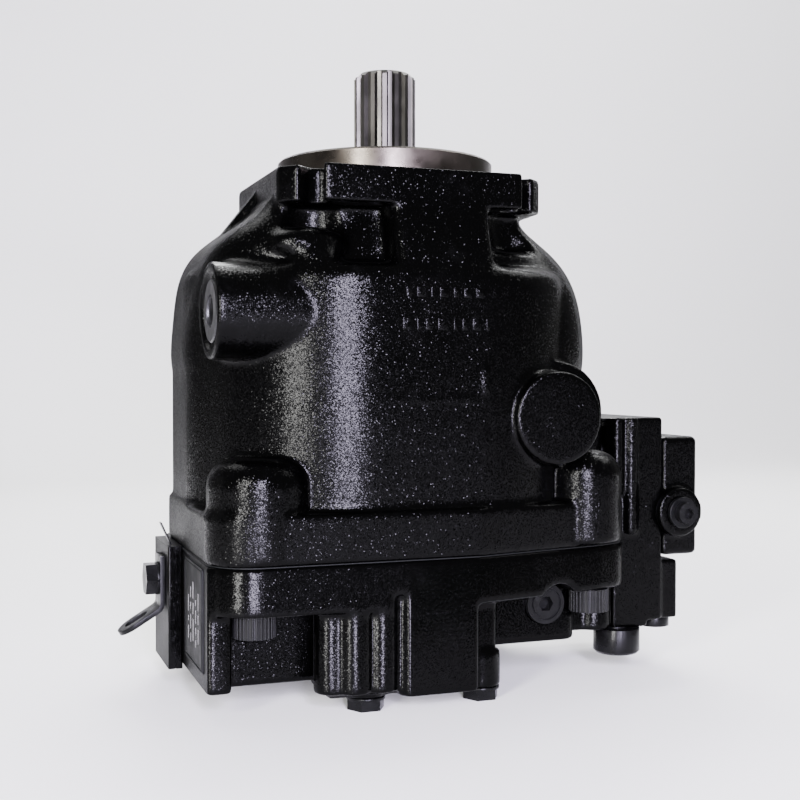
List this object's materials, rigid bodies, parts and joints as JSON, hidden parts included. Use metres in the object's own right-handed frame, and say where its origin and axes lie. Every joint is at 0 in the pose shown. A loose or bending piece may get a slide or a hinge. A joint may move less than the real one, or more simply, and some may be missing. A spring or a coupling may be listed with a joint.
{
  "type": "axial piston pump",
  "caption": "Variable axial piston hydraulic pump with a splined shaft, four-ear pilot flange, cast housing, ported end cap and side control block.",
  "frame": {"origin": "centre of the mounting flange face, on the drive shaft axis, where the pilot starts", "axes": "+Z out along the drive shaft, -Y out of the flat front of the housing, +X towards the control block"},
  "size_m": [0.3456, 0.177, 0.3567],
  "materials": {
    "cast_black": "gloss black paint over rough cast iron",
    "black_oxide": "black oxide, satin",
    "black_zinc": "black zinc, semi gloss",
    "plug_steel": "phosphated, satin",
    "ground_steel": "machined and ground",
    "hardened_steel": "hardened and lapped",
    "spring_steel": "oil tempered",
    "bronze": "machined bronze",
    "gasket": "coated fibre",
    "seal_rubber": "matt",
    "nameplate": "anodised black with pale printing"
  },
  "bodies": {
    "housing": {"housing": "cast_black", "end_cap": "cast_black", "joint_gasket": "gasket", "shaft_seal": "seal_rubber", "seal_snap_ring": "spring_steel", "front_bearing_cup": "ground_steel", "rear_bearing_race": "ground_steel", "cradle_bearing_left": "bronze", "cradle_bearing_right": "bronze", "valve_plate": "bronze", "valve_plate_pin": "spring_steel", "bias_spring": "spring_steel", "bias_plug": "black_zinc", "drain_plug": "plug_steel", "cap_screws": "black_oxide", "foot_plugs": "black_zinc", "gauge_plug": "black_zinc", "port_cover": "cast_black", "eye_strap": "black_zinc", "cover_bolt": "black_oxide", "nameplate": "nameplate", "control_block": "cast_black", "control_cover": "cast_black", "control_screws": "black_oxide", "adjuster_nut": "black_zinc", "spool_plug": "black_zinc", "control_base_plug": "black_zinc", "control_side_plug": "black_zinc", "spool_spring": "spring_steel"},
    "rotating_group": {"drive_shaft": "ground_steel", "front_bearing_cone": "ground_steel", "rear_inner_race": "ground_steel", "cylinder_block": "hardened_steel", "ball_guide": "hardened_steel", "hold_down_pins": "spring_steel", "block_spring": "spring_steel"},
    "piston_set": {"piston_1": "hardened_steel", "piston_2": "hardened_steel", "piston_3": "hardened_steel", "piston_4": "hardened_steel", "piston_5": "hardened_steel", "piston_6": "hardened_steel", "piston_7": "hardened_steel", "piston_8": "hardened_steel", "piston_9": "hardened_steel", "slippers": "bronze", "retainer_plate": "hardened_steel"},
    "front_rollers": {"front_bearing_rollers": "ground_steel", "front_bearing_cage": "bronze"},
    "rear_rollers": {"rear_bearing_rollers": "ground_steel"},
    "swashplate": {"swashplate": "hardened_steel"},
    "stroking_piston": {"stroking_piston": "hardened_steel"},
    "bias_piston": {"bias_piston": "hardened_steel"},
    "control_spool": {"control_spool": "hardened_steel"},
    "adjuster": {"adjuster_screw": "black_oxide"},
    "spring_seat": {"spring_seat": "hardened_steel"}
  },
  "joints": [
    {"name": "shaft_spin", "type": "hinge", "parent": "housing", "child": "rotating_group", "pos_m": [0, 0, 0], "axis": [0, 0, 1], "continuous": true},
    {"name": "front_roller_spin", "type": "hinge", "parent": "housing", "child": "front_rollers", "pos_m": [0, 0, 0], "axis": [0, 0, 1], "continuous": true},
    {"name": "rear_roller_spin", "type": "hinge", "parent": "housing", "child": "rear_rollers", "pos_m": [0, 0, 0], "axis": [0, 0, 1], "continuous": true},
    {"name": "swash_tilt", "type": "hinge", "parent": "housing", "child": "swashplate", "pos_m": [0, 0, -0.096], "axis": [1, 0, 0], "range_deg": [0, 18], "stiffness_Nm_per_rad": 20, "springref_deg": -8.59},
    {"name": "piston_draw", "type": "slide", "parent": "rotating_group", "child": "piston_set", "axis": [0, 0, -1], "range_m": [0, 0.0202]},
    {"name": "stroking_slide", "type": "slide", "parent": "housing", "child": "stroking_piston", "axis": [0, 1, 0], "range_m": [0, 0.013]},
    {"name": "bias_slide", "type": "slide", "parent": "housing", "child": "bias_piston", "axis": [0, 1, 0], "range_m": [0, 0.013]},
    {"name": "spool_slide", "type": "slide", "parent": "housing", "child": "control_spool", "axis": [0, 1, 0], "range_m": [-0.002, 0.002], "stiffness_N_per_m": 2000},
    {"name": "adjuster_turn", "type": "hinge", "parent": "housing", "child": "adjuster", "pos_m": [0.175, 0, -0.196], "axis": [0, -1, 0], "range_deg": [-180, 180]},
    {"name": "seat_slide", "type": "slide", "parent": "housing", "child": "spring_seat", "axis": [0, 1, 0], "range_m": [-0.0006, 0.0006]}
  ],
  "couplings": [
    {"joint": "front_roller_spin", "follows": "shaft_spin", "ratio": 0.4375},
    {"joint": "rear_roller_spin", "follows": "shaft_spin", "ratio": 0.45},
    {"joint": "piston_draw", "follows": "swash_tilt", "m_per_rad": 0.0641},
    {"joint": "stroking_slide", "follows": "swash_tilt", "m_per_rad": 0.041},
    {"joint": "bias_slide", "follows": "swash_tilt", "m_per_rad": 0.041},
    {"joint": "seat_slide", "follows": "adjuster_turn", "m_per_rad": 0.000159}
  ]
}
